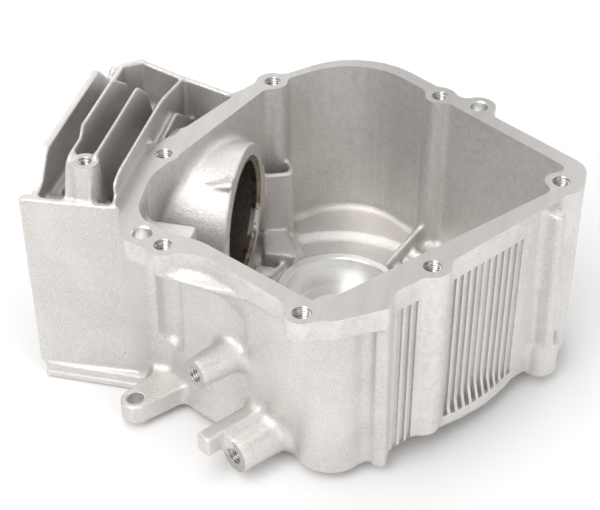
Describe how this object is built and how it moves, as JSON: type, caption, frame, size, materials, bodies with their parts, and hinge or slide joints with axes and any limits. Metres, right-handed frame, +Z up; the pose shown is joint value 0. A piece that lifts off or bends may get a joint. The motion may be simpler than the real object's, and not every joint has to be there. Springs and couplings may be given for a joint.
{
  "type": "engine block",
  "caption": "Small engine block for a vertical crankshaft: die-cast crankcase open to a sump flange, finned cylinder with a cast-in iron liner, bearing seat in the floor.",
  "frame": {"origin": "crank axis at the mouth of the main bearing seat", "axes": "+Z up along the crank axis out of the open sump side, -X along the cylinder towards the head"},
  "size_m": [0.2649, 0.2415, 0.1355],
  "materials": {
    "cast_aluminium": "as-cast satin, machined faces brighter",
    "liner_iron": "honed bore"
  },
  "bodies": {
    "root": {"block_casting": "cast_aluminium", "cylinder_liner": "liner_iron"}
  },
  "joints": []
}
